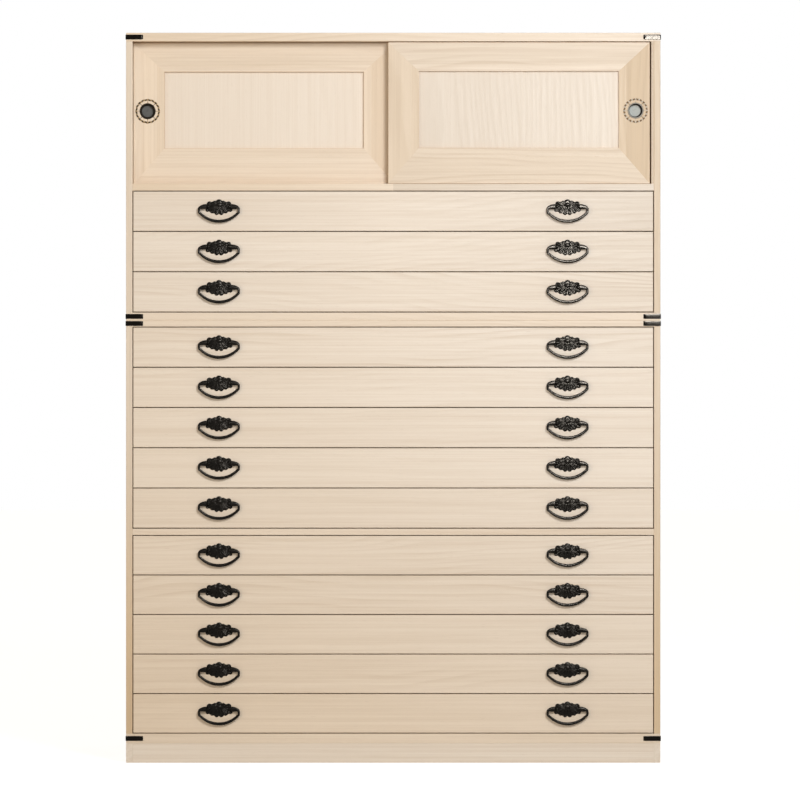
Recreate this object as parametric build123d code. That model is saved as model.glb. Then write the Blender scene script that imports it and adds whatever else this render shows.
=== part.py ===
"""Isho clothing chest: a two-unit tansu in paulownia wood with black ironwork. Millimetres.

X runs to the right, the front faces -Y and Z is up. The origin is on the floor, under the middle
of the chest with its handles.
"""

from build123d import *
import math
import os

os.makedirs("parts", exist_ok=True)

# ---------------------------------------------------------------- case
case_width = 1000.0
case_depth = 450.0
side_thickness = 12.0
back_thickness = 6.0
base_height = 36.5
base_board_thickness = 12.0
lower_bottom_thickness = 18.0
middle_shelf_thickness = 12.0
lower_top_thickness = 12.0
upper_bottom_thickness = 14.5
door_sill_thickness = 13.0
door_opening_height = 266.5
upper_top_thickness = 16.0
board_edge_round = 0.8

# ---------------------------------------------------------------- drawers
front_gap = 1.5
lower_bank_count = 5
lower_bank_front_height = 72.5
upper_bank_count = 5
upper_bank_front_height = 73.8
top_unit_count = 3
top_unit_front_height = 74.0
front_thickness = 20.0
front_edge_round = 1.2
drawer_rear_clearance = 24.0
drawer_side_thickness = 10.0
drawer_back_thickness = 10.0
drawer_side_lift = 10.5
drawer_side_top_drop = 2.0
drawer_panel_thickness = 4.0
drawer_panel_lift = 3.0
drawer_groove_depth = 4.0

# ---------------------------------------------------------------- runners
runner_width = 10.0
runner_height = 10.0
runner_clearance = 0.3
runner_stop_gap = 0.3

# ---------------------------------------------------------------- sliding doors
door_overlap = 4.0
door_thickness = 18.0
door_stile_width = 58.0
door_top_rail_width = 53.7
door_bottom_rail_width = 67.4
door_edge_chamfer = 0.5
door_top_gap = 1.5
door_bottom_gap = 0.4
door_setback = 4.0
door_pass_gap = 3.0
left_door_side_gap = 0.5
right_door_side_gap = 7.6
door_jamb_width = 5.4
door_jamb_depth = 23.0
door_lip_width = 2.0
door_slope_width = 42.0
door_slope_drop = 5.0
door_panel_step = 5.0
door_panel_thickness = 5.0
door_panel_groove = 6.0
tongue_thickness = 8.0
tongue_clearance = 0.5
top_tongue_engagement = 4.0
top_groove_depth = 7.5
sill_groove_depth = 1.2
sill_running_gap = 0.3

# ---------------------------------------------------------------- finger pulls
pull_edge_distance = 26.5
pull_rise = 137.0
pull_cup_radius = 13.4
pull_cup_wall = 1.0
pull_cup_depth = 8.5
pull_rim_radius = 15.0
pull_rim_thickness = 1.6
pull_ring_radius = 21.6
pull_ring_width = 1.6
pull_flange_thickness = 1.0
pull_spoke_count = 8
pull_spoke_width = 1.6
pull_scallop_count = 16
pull_scallop_radius = 1.4
pull_seat_gap = 0.2

# ---------------------------------------------------------------- drawer handles
handle_inset = 160.5
handle_rise = 7.4
plate_thickness = 1.4
plate_relief = 1.0
plate_top_lobe_height = 11.2
plate_top_lobe_radius = 3.8
plate_shoulder_lobe_offset = 8.0
plate_shoulder_lobe_height = 9.2
plate_shoulder_lobe_radius = 3.4
plate_rosette_offset = 17.8
plate_rosette_height = 5.8
plate_rosette_radius = 5.2
plate_rosette_boss_radius = 3.6
plate_low_lobe_pitch = 8.6
plate_low_lobe_count = 6
plate_low_lobe_radius = 3.2
plate_low_lobe_depth = 13.2
plate_low_lobe_rise = 0.38
plate_boss_height = 5.5
plate_boss_half_width = 7.5
plate_boss_half_height = 4.5
plate_boss_thickness = 3.2
pivot_rise = 1.2
pivot_standoff = 6.5
eye_offset = 19.5
eye_width = 4.0
eye_radius = 3.1
eye_stem_radius = 1.6
eye_stem_depth = 14.0
pin_radius = 1.5
pin_clearance = 0.05
pin_root = 2.0
pin_end_gap = 0.5
bail_side_play = 0.4
bail_thickness = 4.0
bail_half_width = 39.0
bail_drop = 30.0
bail_bow_radius = 47.0
bail_inner_bow_radius = 50.0
bail_side_width = 2.9
bail_low_width = 4.4
bail_arm_rise = 4.0
bail_arm_tip_rise = 0.6
bail_arm_fall = 4.2
bail_outer_top_round = 2.5
bail_outer_low_round = 9.0
bail_inner_top_round = 1.5
bail_inner_low_round = 6.0
bail_edge_round = 0.9

# ---------------------------------------------------------------- corner fittings
strap_length = 32.0
strap_height = 9.0
strap_thickness = 1.0
nail_inset = 4.5
nail_head_radius = 1.4
nail_head_height = 0.6
nail_shank_radius = 0.8
nail_length = 7.0

# ---------------------------------------------------------------- places worked out from the sizes
handle_projection = pivot_standoff + eye_radius
front_y = (handle_projection - case_depth) / 2
back_y = front_y + case_depth
panel_y = back_y - back_thickness
outer_x = case_width / 2
inner_x = outer_x - side_thickness
front_x = inner_x - front_gap
handle_x = front_x - handle_inset


def bank_height(count, front_height):
    """Height of an opening that holds count drawer fronts with a gap round each."""
    return count * (front_height + front_gap) + front_gap


def bank_floors(floor_z, count, front_height):
    """Bottom edge of each drawer front in a bank, from the top one down."""
    pitch = front_height + front_gap
    return [floor_z + front_gap + pitch * place for place in reversed(range(count))]


lower_bottom_z = base_height
lower_bank_z = lower_bottom_z + lower_bottom_thickness
middle_shelf_z = lower_bank_z + bank_height(lower_bank_count, lower_bank_front_height)
upper_bank_z = middle_shelf_z + middle_shelf_thickness
lower_top_z = upper_bank_z + bank_height(upper_bank_count, upper_bank_front_height)
upper_bottom_z = lower_top_z + lower_top_thickness
top_unit_z = upper_bottom_z + upper_bottom_thickness
door_sill_z = top_unit_z + bank_height(top_unit_count, top_unit_front_height)
door_opening_z = door_sill_z + door_sill_thickness
upper_top_z = door_opening_z + door_opening_height
total_height = upper_top_z + upper_top_thickness

drawers = []
for floor_z, count, height in (
    (top_unit_z, top_unit_count, top_unit_front_height),
    (upper_bank_z, upper_bank_count, upper_bank_front_height),
    (lower_bank_z, lower_bank_count, lower_bank_front_height),
):
    drawers += [(front_z, height) for front_z in bank_floors(floor_z, count, height)]

sides = {"left": -1, "right": 1}


# ---------------------------------------------------------------- building blocks
def board(x, y, z):
    """Square-edged board between a low and a high value on each axis."""
    low, high = zip(sorted(x), sorted(y), sorted(z))
    centre = [(a + b) / 2 for a, b in zip(low, high)]
    return Pos(*centre) * Box(*[b - a for a, b in zip(low, high)])


def round_front(shape, axis, radius):
    """Rounds the front edges that run along one axis."""
    front = shape.faces().sort_by(Axis.Y)[0]
    return shape.fillet(radius, front.edges().filter_by(axis))


def rod(start, direction, radius, length):
    """Round rod from a point, along a direction."""
    place = Plane(origin=start, z_dir=direction)
    return place * Cylinder(radius, length, align=(Align.CENTER, Align.CENTER, Align.MIN))


def prism(plane, outline, length):
    """Flat outline on a plane, drawn out along the plane's normal."""
    return extrude(plane * outline, length, dir=plane.z_dir)


def save(node, shapes):
    """Writes one node's solids, each kept apart, to its own file."""
    solids = [solid for shape in shapes for solid in shape.solids()]
    export_step(Compound(children=solids), f"parts/{node}.step")


# ---------------------------------------------------------------- corner fittings
def corner_strap(side, z):
    """Flat bar bent round the front corner of a board, with one nail in each leg."""
    x_in = side * (outer_x - strap_length)
    x_out = side * (outer_x + strap_thickness)
    level = (z - strap_height / 2, z + strap_height / 2)
    y_out = front_y - strap_thickness
    leg = board((x_in, x_out), (y_out, front_y), level)
    wrap = board((side * outer_x, x_out), (y_out, front_y + strap_length), level)
    strap = leg + wrap
    nails = []
    for head, inward in (
        ((x_in + side * nail_inset, y_out, z), (0, 1, 0)),
        ((x_out, front_y + strap_length - nail_inset, z), (-side, 0, 0)),
    ):
        outward = tuple(-part for part in inward)
        shank = rod(head, inward, nail_shank_radius, nail_length)
        strap -= shank
        nails.append(shank + rod(head, outward, nail_head_radius, nail_head_height))
    return strap, nails


def nailed(shape, z):
    """A case board with the holes of its four corner nails."""
    for side in sides.values():
        for nail in corner_strap(side, z)[1]:
            shape -= nail
    return shape


# ---------------------------------------------------------------- case
def full_board(z, thickness):
    """Board over the whole width and depth, held by a strap at each front corner."""
    shape = board((-outer_x, outer_x), (front_y, back_y), (z, z + thickness))
    return nailed(round_front(shape, Axis.X, board_edge_round), z + thickness / 2)


def shelf(z, thickness):
    """Board between the sides, in front of the back panel."""
    shape = board((-inner_x, inner_x), (front_y, panel_y), (z, z + thickness))
    return round_front(shape, Axis.X, board_edge_round)


def case_sides(low_z, high_z):
    """Left and right side boards between two full boards."""
    made = []
    for side in sides.values():
        shape = board((side * inner_x, side * outer_x), (front_y, back_y), (low_z, high_z))
        made.append(round_front(shape, Axis.Z, board_edge_round))
    return made


def back_panel(low_z, high_z):
    return board((-inner_x, inner_x), (panel_y, back_y), (low_z, high_z))


def door_jamb():
    """Thin strip on the right side board that the right door closes against."""
    x = (inner_x - door_jamb_width, inner_x)
    shape = board(x, (front_y, front_y + door_jamb_depth), (door_opening_z, upper_top_z))
    return round_front(shape, Axis.Z, board_edge_round)


def door_y(setback):
    """Depth of the tongue groove of a door whose face stands back by setback."""
    tongue_y = front_y + setback + (door_thickness - tongue_thickness) / 2
    return (tongue_y - tongue_clearance, tongue_y + tongue_thickness + tongue_clearance)


right_door_setback = door_setback
left_door_setback = door_setback + door_thickness + door_pass_gap

upper_top = full_board(upper_top_z, upper_top_thickness)
door_sill = shelf(door_sill_z, door_sill_thickness)
for setback in (right_door_setback, left_door_setback):
    groove_y = door_y(setback)
    groove_x = (-inner_x, inner_x)
    upper_top -= board(groove_x, groove_y, (upper_top_z, upper_top_z + top_groove_depth))
    door_sill -= board(groove_x, groove_y, (door_opening_z - sill_groove_depth, door_opening_z))

upper_case = [
    upper_top,
    *case_sides(top_unit_z, upper_top_z),
    full_board(upper_bottom_z, upper_bottom_thickness),
    door_sill,
    back_panel(top_unit_z, upper_top_z),
    door_jamb(),
]

base_frame = [
    round_front(
        board((side * inner_x, side * outer_x), (front_y, back_y), (0, base_height)),
        Axis.Z,
        board_edge_round,
    )
    for side in sides.values()
]
base_span = (-inner_x, inner_x)
base_frame.append(board(base_span, (front_y, front_y + base_board_thickness), (0, base_height)))
base_frame.append(board(base_span, (back_y - base_board_thickness, back_y), (0, base_height)))

lower_case = [
    full_board(lower_top_z, lower_top_thickness),
    *case_sides(lower_bank_z, lower_top_z),
    shelf(middle_shelf_z, middle_shelf_thickness),
    full_board(lower_bottom_z, lower_bottom_thickness),
    back_panel(lower_bank_z, lower_top_z),
    *base_frame,
]

runners = []
for front_z, height in drawers:
    runner_top = front_z + drawer_side_lift - runner_clearance
    runner_y = (front_y + front_thickness + runner_stop_gap, panel_y)
    for side in sides.values():
        runner_x = (side * (inner_x - runner_width), side * inner_x)
        runners.append(board(runner_x, runner_y, (runner_top - runner_height, runner_top)))

fittings = []
for z, thickness in (
    (upper_top_z, upper_top_thickness),
    (upper_bottom_z, upper_bottom_thickness),
    (lower_top_z, lower_top_thickness),
    (lower_bottom_z, lower_bottom_thickness),
):
    for side in sides.values():
        strap, nails = corner_strap(side, z + thickness / 2)
        fittings += [strap, *nails]

save("upper_case", upper_case)
save("lower_case", lower_case)
save("drawer_runners", runners)
save("corner_fittings", fittings)


# ---------------------------------------------------------------- handles, round the plate's own centre
def low_lobe_places():
    """Centres of the plate's lower lobes, which hang from two lines that meet in the middle."""
    middle = (plate_low_lobe_count - 1) / 2
    places = []
    for lobe in range(plate_low_lobe_count):
        x = (lobe - middle) * plate_low_lobe_pitch
        depth = plate_low_lobe_depth - plate_low_lobe_radius / 2 - plate_low_lobe_rise * abs(x)
        places.append((x, -depth))
    return places


def plate_outline():
    """Lobed leaf outline: a polygon through the lobes' centres, with a disc on each."""
    upper = [
        (plate_rosette_offset, plate_rosette_height, plate_rosette_radius),
        (plate_shoulder_lobe_offset, plate_shoulder_lobe_height, plate_shoulder_lobe_radius),
        (0, plate_top_lobe_height, plate_top_lobe_radius),
        (-plate_shoulder_lobe_offset, plate_shoulder_lobe_height, plate_shoulder_lobe_radius),
        (-plate_rosette_offset, plate_rosette_height, plate_rosette_radius),
    ]
    lobes = [(x, z, plate_low_lobe_radius) for x, z in low_lobe_places()] + upper
    outline = Polygon(*[(x, z) for x, z, radius in lobes], align=None)
    for x, z, radius in lobes:
        outline += Pos(x, z) * Circle(radius)
    return outline


def stems():
    """Round stems of the two eye bolts, from inside the drawer front to the eyes."""
    start_y = eye_stem_depth
    length = eye_stem_depth + pivot_standoff
    return [
        rod((side * eye_offset, start_y, pivot_rise), (0, -1, 0), eye_stem_radius, length)
        for side in sides.values()
    ]


def handle_plate():
    """Cast plate with raised petals, side rosettes and a boss, pierced for the eye bolts."""
    plate = prism(Plane.XZ, plate_outline(), plate_thickness)
    relief_top = plate_thickness + plate_relief
    for x, z in low_lobe_places():
        start = (x, 0, z)
        plate += rod(start, (0, -1, 0), plate_low_lobe_radius / 2, relief_top)
    for side in sides.values():
        start = (side * plate_rosette_offset, 0, plate_rosette_height)
        plate += rod(start, (0, -1, 0), plate_rosette_boss_radius, relief_top)
    boss = Pos(0, plate_boss_height) * Ellipse(plate_boss_half_width, plate_boss_half_height)
    plate += prism(Plane.XZ, boss, plate_boss_thickness)
    for stem in stems():
        plate -= stem
    return plate


def eye_bolts():
    """Two eyes whose holes lie on the bail's axis."""
    bolts = []
    hole_radius = pin_radius + pin_clearance
    for side, stem in zip(sides.values(), stems()):
        start_x = side * eye_offset - eye_width / 2
        eye = rod((start_x, -pivot_standoff, pivot_rise), (1, 0, 0), eye_radius, eye_width)
        hole = rod((start_x, -pivot_standoff, pivot_rise), (1, 0, 0), hole_radius, eye_width)
        bolts.append(stem + eye - hole)
    return bolts


def round_corner(face, x, z, radius):
    """Rounds the corner of a flat outline that lies nearest to a point."""
    corner = face.vertices().sort_by_distance((x, z, 0))[0]
    return fillet(corner, radius)


def bow(half_width, low_z, bow_radius, top_line, top_round, low_round):
    """Boat-shaped outline: a shallow arc below, upright ends and a given line of points on top."""
    centre_z = low_z + bow_radius
    turn_z = centre_z - math.sqrt(bow_radius**2 - half_width**2)
    box = Polygon((-half_width, low_z), (half_width, low_z), *top_line, align=None)
    face = box & (Pos(0, centre_z) * Circle(bow_radius))
    for side in sides.values():
        face = round_corner(face, side * half_width, turn_z, low_round)
        face = round_corner(face, side * half_width, top_line[0][1], top_round)
    return face


def bail():
    """Drop bail: leaf-shaped arms, thin bows and a thicker grip, with a pin in each eye."""
    root_x = eye_offset + eye_width / 2 + bail_side_play
    inner_x_half = bail_half_width - bail_side_width
    arms = [
        (bail_half_width, bail_arm_tip_rise),
        (root_x, bail_arm_rise),
        (-root_x, bail_arm_rise),
        (-bail_half_width, bail_arm_tip_rise),
    ]
    outer = bow(
        bail_half_width,
        -bail_drop,
        bail_bow_radius,
        arms,
        bail_outer_top_round,
        bail_outer_low_round,
    )
    inner = bow(
        inner_x_half,
        bail_low_width - bail_drop,
        bail_inner_bow_radius,
        [(inner_x_half, -bail_arm_fall), (-inner_x_half, -bail_arm_fall)],
        bail_inner_top_round,
        bail_inner_low_round,
    )
    between = (-root_x, -bail_arm_fall), (root_x, -bail_arm_fall)
    between += (root_x, bail_arm_rise), (-root_x, bail_arm_rise)
    face = outer - inner - Polygon(*between, align=None)
    shape = prism(Plane.XZ, face, bail_thickness)
    shape = shape.fillet(bail_edge_round, shape.faces().filter_by(Axis.Y).edges())
    shape = Pos(0, bail_thickness / 2 - pivot_standoff, pivot_rise) * shape
    pin_length = pin_root + bail_side_play + eye_width - pin_end_gap
    for side in sides.values():
        start = (side * (root_x + pin_root), -pivot_standoff, pivot_rise)
        shape += rod(start, (-side, 0, 0), pin_radius, pin_length)
    return shape


# ---------------------------------------------------------------- drawers
def drawer_box(front_z, height, holes):
    """Front, two sides, back and a thin bottom panel held in grooves."""
    front_back_y = front_y + front_thickness
    end_y = panel_y - drawer_rear_clearance
    side_in_x = front_x - drawer_side_thickness
    side_z = front_z + drawer_side_lift
    top_z = front_z + height - drawer_side_top_drop
    floor_z = side_z + drawer_panel_lift
    panel_top_z = floor_z + drawer_panel_thickness
    panel_x = side_in_x + drawer_groove_depth
    panel = board(
        (-panel_x, panel_x),
        (front_back_y - drawer_groove_depth, end_y),
        (floor_z, panel_top_z),
    )
    front = board((-front_x, front_x), (front_y, front_back_y), (front_z, front_z + height))
    front = front.fillet(front_edge_round, front.faces().sort_by(Axis.Y)[0].edges())
    front -= panel
    for hole in holes:
        front -= hole
    walls = [
        board((side * side_in_x, side * front_x), (front_back_y, end_y), (side_z, top_z)) - panel
        for side in sides.values()
    ]
    back_low_y = end_y - drawer_back_thickness
    back = board((-side_in_x, side_in_x), (back_low_y, end_y), (panel_top_z, top_z))
    return [front, *walls, back, panel]


plate_shape = handle_plate()
bolt_shapes = eye_bolts()
stem_shapes = stems()
bail_shape = bail()

for number, (front_z, height) in enumerate(drawers, start=1):
    handle_z = front_z + height / 2 + handle_rise
    places = {name: Pos(side * handle_x, front_y, handle_z) for name, side in sides.items()}
    holes = [place * stem for place in places.values() for stem in stem_shapes]
    plates = []
    for name, place in places.items():
        plates += [place * plate_shape, *[place * bolt for bolt in bolt_shapes]]
        save(f"drawer_{number:02}_{name}_bail", [place * bail_shape])
    save(f"drawer_{number:02}_box", drawer_box(front_z, height, holes))
    save(f"drawer_{number:02}_plates", plates)


# ---------------------------------------------------------------- doors, from their lower left front corner
door_width = inner_x + door_overlap / 2
door_height = door_opening_height - door_top_gap - door_bottom_gap
door_panel_front = door_slope_drop + door_panel_step
door_panel_back = door_panel_front + door_panel_thickness
slope_angle = math.atan2(door_slope_drop, door_slope_width)


def frame_member(width, length, start_cut, end_cut):
    """Moulded member along X, outer edge down, mitred to neighbours of the given widths."""
    stretch = width / door_stile_width
    slope_start = door_lip_width * stretch
    slope_end = (door_lip_width + door_slope_width) * stretch
    groove = width - door_panel_groove
    profile = Polygon(
        (0, door_edge_chamfer),
        (0, slope_start),
        (door_slope_drop, slope_end),
        (door_slope_drop, width),
        (door_panel_front, width),
        (door_panel_front, groove),
        (door_panel_back, groove),
        (door_panel_back, width),
        (door_thickness, width),
        (door_thickness, 0),
        (door_edge_chamfer, 0),
        align=None,
    )
    mitre = Polygon((0, 0), (length, 0), (length - end_cut, width), (start_cut, width), align=None)
    back = Plane.XZ.offset(-door_thickness)
    return prism(Plane.YZ, profile, length) & prism(back, mitre, door_thickness)


def finger_pull():
    """Cup with a rolled rim and a pierced, scalloped ring round it, facing +Z."""
    low = (Align.CENTER, Align.CENTER, Align.MIN)
    high = (Align.CENTER, Align.CENTER, Align.MAX)
    bore_radius = pull_cup_radius - pull_cup_wall
    cup = Cylinder(pull_cup_radius, pull_cup_depth, align=high)
    cup += Cylinder(pull_rim_radius, pull_rim_thickness, align=low)
    floor_z = pull_cup_wall - pull_cup_depth
    cup -= Pos(0, 0, floor_z) * Cylinder(bore_radius, pull_cup_depth + pull_rim_thickness, align=low)
    ring = Circle(pull_ring_radius + pull_ring_width / 2)
    for place in PolarLocations(pull_ring_radius, pull_scallop_count):
        ring += place * Circle(pull_scallop_radius)
    ring -= Circle(pull_ring_radius - pull_ring_width / 2)
    spoke_length = pull_ring_radius - pull_cup_radius
    for place in PolarLocations((pull_ring_radius + pull_cup_radius) / 2, pull_spoke_count):
        ring += place * Rectangle(spoke_length, pull_spoke_width)
    flange = prism(Plane.XY, ring - Circle(bore_radius), pull_flange_thickness)
    return cup + flange


def door(x, setback, pull_side):
    """Framed door with its panel, and its finger pull let into the stile on one side."""
    stile = door_stile_width
    top = door_top_rail_width
    bottom = door_bottom_rail_width
    turn = {
        "bottom": Pos(0, 0, 0),
        "top": Pos(door_width, 0, door_height) * Rot(0, 180, 0),
        "left": Pos(0, 0, door_height) * Rot(0, 90, 0),
        "right": Pos(door_width, 0, 0) * Rot(0, -90, 0),
    }
    frame = {
        "bottom": turn["bottom"] * frame_member(bottom, door_width, stile, stile),
        "top": turn["top"] * frame_member(top, door_width, stile, stile),
        "left": turn["left"] * frame_member(stile, door_height, top, bottom),
        "right": turn["right"] * frame_member(stile, door_height, bottom, top),
    }
    tongue_y = (door_thickness - tongue_thickness) / 2
    tongue = (0, door_width), (tongue_y, tongue_y + tongue_thickness)
    engaged = door_bottom_gap + sill_groove_depth - sill_running_gap
    frame["bottom"] += board(*tongue, (-engaged, 0))
    raised = door_height + door_top_gap + top_tongue_engagement
    frame["top"] += board(*tongue, (door_height, raised))
    hidden = stile - door_panel_groove
    panel = board(
        (hidden, door_width - hidden),
        (door_panel_front, door_panel_back),
        (bottom - door_panel_groove, door_height - top + door_panel_groove),
    )
    if pull_side == "left":
        pull_x = pull_edge_distance
        inward = 1
    else:
        pull_x = door_width - pull_edge_distance
        inward = -1
    seat = (pull_edge_distance - door_lip_width) * math.tan(slope_angle)
    seat_plane = Plane(
        origin=(pull_x, seat, pull_rise),
        x_dir=(0, 0, 1),
        z_dir=(inward * math.sin(slope_angle), -math.cos(slope_angle), 0),
    )
    low = (Align.CENTER, Align.CENTER, Align.MIN)
    high = (Align.CENTER, Align.CENTER, Align.MAX)
    seat_radius = pull_ring_radius + pull_scallop_radius + pull_seat_gap
    frame[pull_side] -= seat_plane * Cylinder(seat_radius, pull_rim_thickness, align=low)
    frame[pull_side] -= seat_plane * Cylinder(pull_cup_radius, pull_cup_depth, align=high)
    place = Pos(x, front_y + setback, door_opening_z + door_bottom_gap)
    return [place * piece for piece in (*frame.values(), panel)], place * (seat_plane * finger_pull())


left_x = left_door_side_gap - inner_x
right_x = inner_x - right_door_side_gap - door_width
for name, x, setback in (
    ("left", left_x, left_door_setback),
    ("right", right_x, right_door_setback),
):
    wood, pull = door(x, setback, name)
    save(f"{name}_door", wood)
    save(f"{name}_door_pull", [pull])
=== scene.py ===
"""Isho clothing chest: looks for the two-unit tansu in paulownia wood with black ironwork.

Metres. X runs to the right, the front faces -Y and Z is up. Names that end in _MM are in
millimetres, and so are the shapes of the metal parts, which Shape.piece scales by MM.
"""

import math
from dataclasses import dataclass

import bpy
import numpy as np
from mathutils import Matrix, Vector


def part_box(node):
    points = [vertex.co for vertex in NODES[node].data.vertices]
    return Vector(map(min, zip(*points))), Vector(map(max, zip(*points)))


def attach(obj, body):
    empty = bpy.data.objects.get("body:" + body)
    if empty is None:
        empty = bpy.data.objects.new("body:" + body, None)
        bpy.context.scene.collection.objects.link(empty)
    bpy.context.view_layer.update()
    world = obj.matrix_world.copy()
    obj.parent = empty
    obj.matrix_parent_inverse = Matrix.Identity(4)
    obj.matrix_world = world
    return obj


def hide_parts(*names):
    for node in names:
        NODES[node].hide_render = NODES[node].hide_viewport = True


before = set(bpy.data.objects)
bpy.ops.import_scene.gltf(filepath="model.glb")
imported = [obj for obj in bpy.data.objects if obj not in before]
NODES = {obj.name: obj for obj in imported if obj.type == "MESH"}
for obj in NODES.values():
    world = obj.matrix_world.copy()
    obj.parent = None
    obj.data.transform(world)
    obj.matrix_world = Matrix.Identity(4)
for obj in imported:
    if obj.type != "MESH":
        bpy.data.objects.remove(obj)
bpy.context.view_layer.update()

MM = 0.001
SIDES = {"left": -1.0, "right": 1.0}
DRAWERS = [f"drawer_{number:02}" for number in range(1, 14)]

# The chest's own planes: its front, the face of its back panels and the inside of its sides.
CASE_LOW, CASE_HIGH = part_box("upper_case")
FRONT_Y = CASE_LOW.y
BACK_PANEL_Y = CASE_HIGH.y - 6 * MM
INNER_X = CASE_HIGH.x - 12 * MM

# Heights of the boards that lie across the case, from the floor.
BASE_TOP = 36.5 * MM
BOTTOM_TOP = 54.5 * MM
MIDDLE_LOW = 816.0 * MM
UNIT_SEAM = 828.0 * MM
MIDDLE_HIGH = 842.5 * MM
SILL_LOW = 1070.5 * MM
SILL_HIGH = 1083.5 * MM
TOP_LOW = 1350.0 * MM
TOP_HIGH = 1370.0 * MM

# A step past a face that takes the face in, the jamb strip's width and a drawer front's thickness.
HAIR = 0.1 * MM
JAMB_STRIP = 5.5 * MM
DRAWER_FRONT = 20.0 * MM


# ---------------------------------------------------------------- shader maths
class Wire:
    """A shader value. Sums, products and comparisons of wires add the matching maths nodes."""

    def __init__(self, tree, socket):
        self.tree = tree
        self.socket = socket

    def maths(self, operation, *others, swapped=False, clamp=False):
        node = self.tree.nodes.new("ShaderNodeMath")
        node.operation = operation
        node.use_clamp = clamp
        values = (*others, self) if swapped else (self, *others)
        for place, value in enumerate(values):
            put(self.tree, node.inputs[place], value)
        return Wire(self.tree, node.outputs[0])

    def __add__(self, other):
        return self.maths("ADD", other)

    def __sub__(self, other):
        return self.maths("SUBTRACT", other)

    def __mul__(self, other):
        return self.maths("MULTIPLY", other)

    def __truediv__(self, other):
        return self.maths("DIVIDE", other)

    def __pow__(self, other):
        return self.maths("POWER", other)

    def __gt__(self, other):
        return self.maths("GREATER_THAN", other)

    def __lt__(self, other):
        return self.maths("LESS_THAN", other)

    def __rsub__(self, other):
        return self.maths("SUBTRACT", other, swapped=True)

    __radd__ = __add__
    __rmul__ = __mul__

    def size(self):
        return self.maths("ABSOLUTE")

    def held(self):
        """The value kept between 0 and 1."""
        return self.maths("ADD", 0.0, clamp=True)

    def ramp(self, low, high):
        """0 below low, 1 above high and smooth between."""
        return Look.at(self.tree).part(
            "ShaderNodeMapRange",
            {"interpolation_type": "SMOOTHSTEP"},
            {"Value": self, "From Min": low, "From Max": high},
        )

    def toward(self, other, share):
        """This value moved toward another by a share from 0 to 1."""
        return self + (other - self) * share


def put(tree, socket, value):
    """Links a wire to a socket, or writes a plain value on it."""
    if isinstance(value, Wire):
        tree.links.new(value.socket, socket)
    else:
        socket.default_value = value


class Look:
    """A procedural material and the nodes that make it."""

    def __init__(self, name):
        self.material = bpy.data.materials.new(name)
        self.material.use_nodes = True
        self.tree = self.material.node_tree
        self.tree.nodes.clear()
        self.finish = self.tree.nodes.new("ShaderNodeBsdfPrincipled")
        output = self.tree.nodes.new("ShaderNodeOutputMaterial")
        self.tree.links.new(self.finish.outputs["BSDF"], output.inputs["Surface"])

    @classmethod
    def at(cls, tree):
        look = cls.__new__(cls)
        look.tree = tree
        return look

    def part(self, kind, settings=None, values=None, output=0):
        """Any node: its settings are made first, then its sockets, and one output comes back."""
        node = self.tree.nodes.new(kind)
        for name, setting in (settings or {}).items():
            setattr(node, name, setting)
        for name, value in (values or {}).items():
            put(self.tree, node.inputs[name], value)
        return Wire(self.tree, node.outputs[output])

    def place(self):
        """The three object coordinates, in metres."""
        spot = self.part("ShaderNodeTexCoord", output="Object")
        node = self.tree.nodes.new("ShaderNodeSeparateXYZ")
        self.tree.links.new(spot.socket, node.inputs[0])
        return [Wire(self.tree, socket) for socket in node.outputs]

    def point(self, x, y, z):
        return self.part("ShaderNodeCombineXYZ", values={"X": x, "Y": y, "Z": z})

    def noise(self, x, y, z, detail=2.0, roughness=0.5):
        """Smooth noise from 0 to 1, near 0.5 on average, with features about 1 unit wide."""
        values = {
            "Vector": self.point(x, y, z),
            "Scale": 1.0,
            "Detail": detail,
            "Roughness": roughness,
        }
        return self.part("ShaderNodeTexNoise", {"noise_dimensions": "3D"}, values)

    def chance(self, value, seed):
        """One even random number from 0 to 1 for each whole value."""
        values = {"Vector": self.point(value, seed, 0.5)}
        return self.part("ShaderNodeTexWhiteNoise", {"noise_dimensions": "3D"}, values)

    def mixed(self, low, high, share):
        """Colour between two colours. The numbers are the places of the node's colour sockets."""
        values = {"Factor": share, 6: low, 7: high}
        return self.part("ShaderNodeMix", {"data_type": "RGBA"}, values, output=2)

    def bump(self, height, strength, distance):
        """A normal that stands for a height, so many metres deep at full strength."""
        values = {"Strength": strength, "Distance": distance, "Height": height}
        return self.part("ShaderNodeBump", values=values)

    def set(self, **values):
        """Writes or links sockets of the finish: underscores in a name stand for spaces."""
        for name, value in values.items():
            put(self.tree, self.finish.inputs[name.replace("_", " ")], value)


# ---------------------------------------------------------------- paulownia wood
PALE_WOOD = (0.905, 0.812, 0.700, 1.0)
HONEY_WOOD = (0.785, 0.605, 0.400, 1.0)
BROWN_WOOD = (0.500, 0.330, 0.175, 1.0)
# Amber is painted shade: the warm shade of recesses and gaps.
AMBER_SHADE_WOOD = (0.600, 0.370, 0.175, 1.0)
DEEP_WOOD = (0.600, 0.455, 0.310, 1.0)
PORE_WOOD = (0.430, 0.300, 0.190, 1.0)
STOREYS_A_METRE = 13.0
BLACK = (0.0, 0.0, 0.0, 1.0)
WHITE = (1.0, 1.0, 1.0, 1.0)
# Share of the amber painted shade in recesses and gaps.
AMBER_SHADE = 0.62


@dataclass
class Board:
    """Wires or plain numbers for one board: its coordinates along the grain, across the face and
    into the thickness, its number, how warm it is (0 pale, 1 honey, 2 brown), which is partly its
    own tone and partly painted shade, how much amber painted shade it has in recesses and gaps,
    how much painted shade darkens it and how quiet its figure is.
    """

    along: object
    across: object
    depth: object
    number: object
    warm: object
    inner: object
    shade: object = 0.0
    quiet: object = 0.0


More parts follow.
